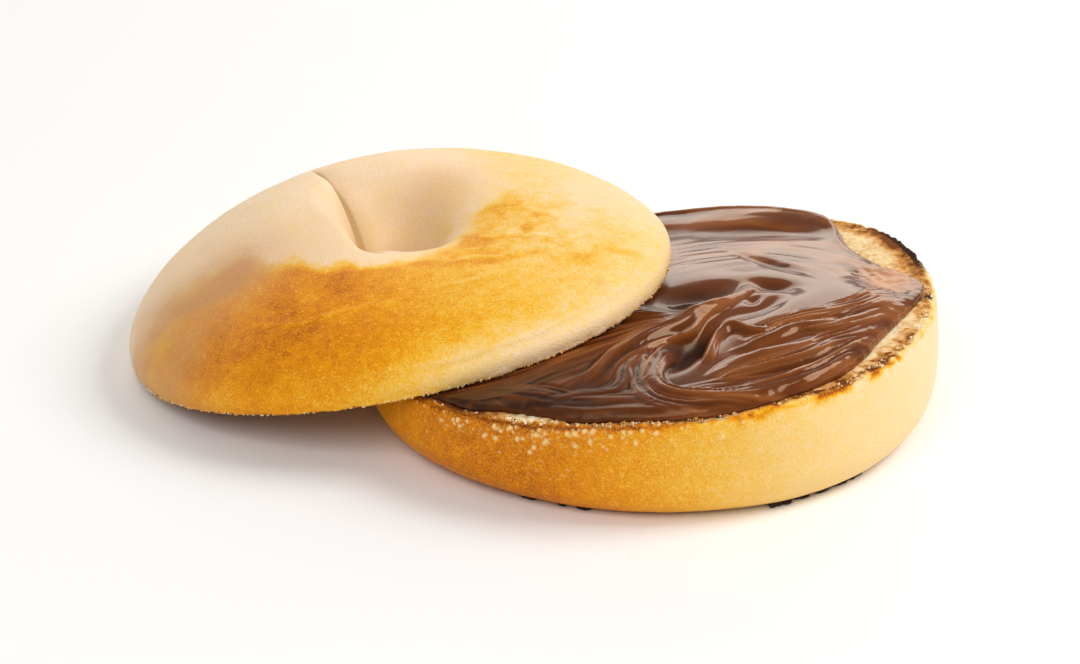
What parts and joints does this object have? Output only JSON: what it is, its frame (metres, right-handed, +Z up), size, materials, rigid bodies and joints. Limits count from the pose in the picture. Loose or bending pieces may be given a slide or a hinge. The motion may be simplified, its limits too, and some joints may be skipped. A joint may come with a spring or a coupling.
{
  "type": "bagel",
  "caption": "Bagel cut in two, its lower half under a swirled chocolate spread and its upper half leaning on it, crust up.",
  "frame": {"origin": "on the table, below the middle of the whole bagel's box", "axes": "+X from the leaning upper half towards the spread's bare side, +Y away from the front, +Z up"},
  "size_m": [0.1502, 0.127, 0.0296],
  "materials": {
    "crust": "baked golden crust, satin, with a matte crumb on the cut faces",
    "chocolate": "glossy soft chocolate spread"
  },
  "bodies": {
    "root": {"lower_half": "crust", "chocolate_spread": "chocolate", "upper_half": "crust"}
  },
  "joints": []
}
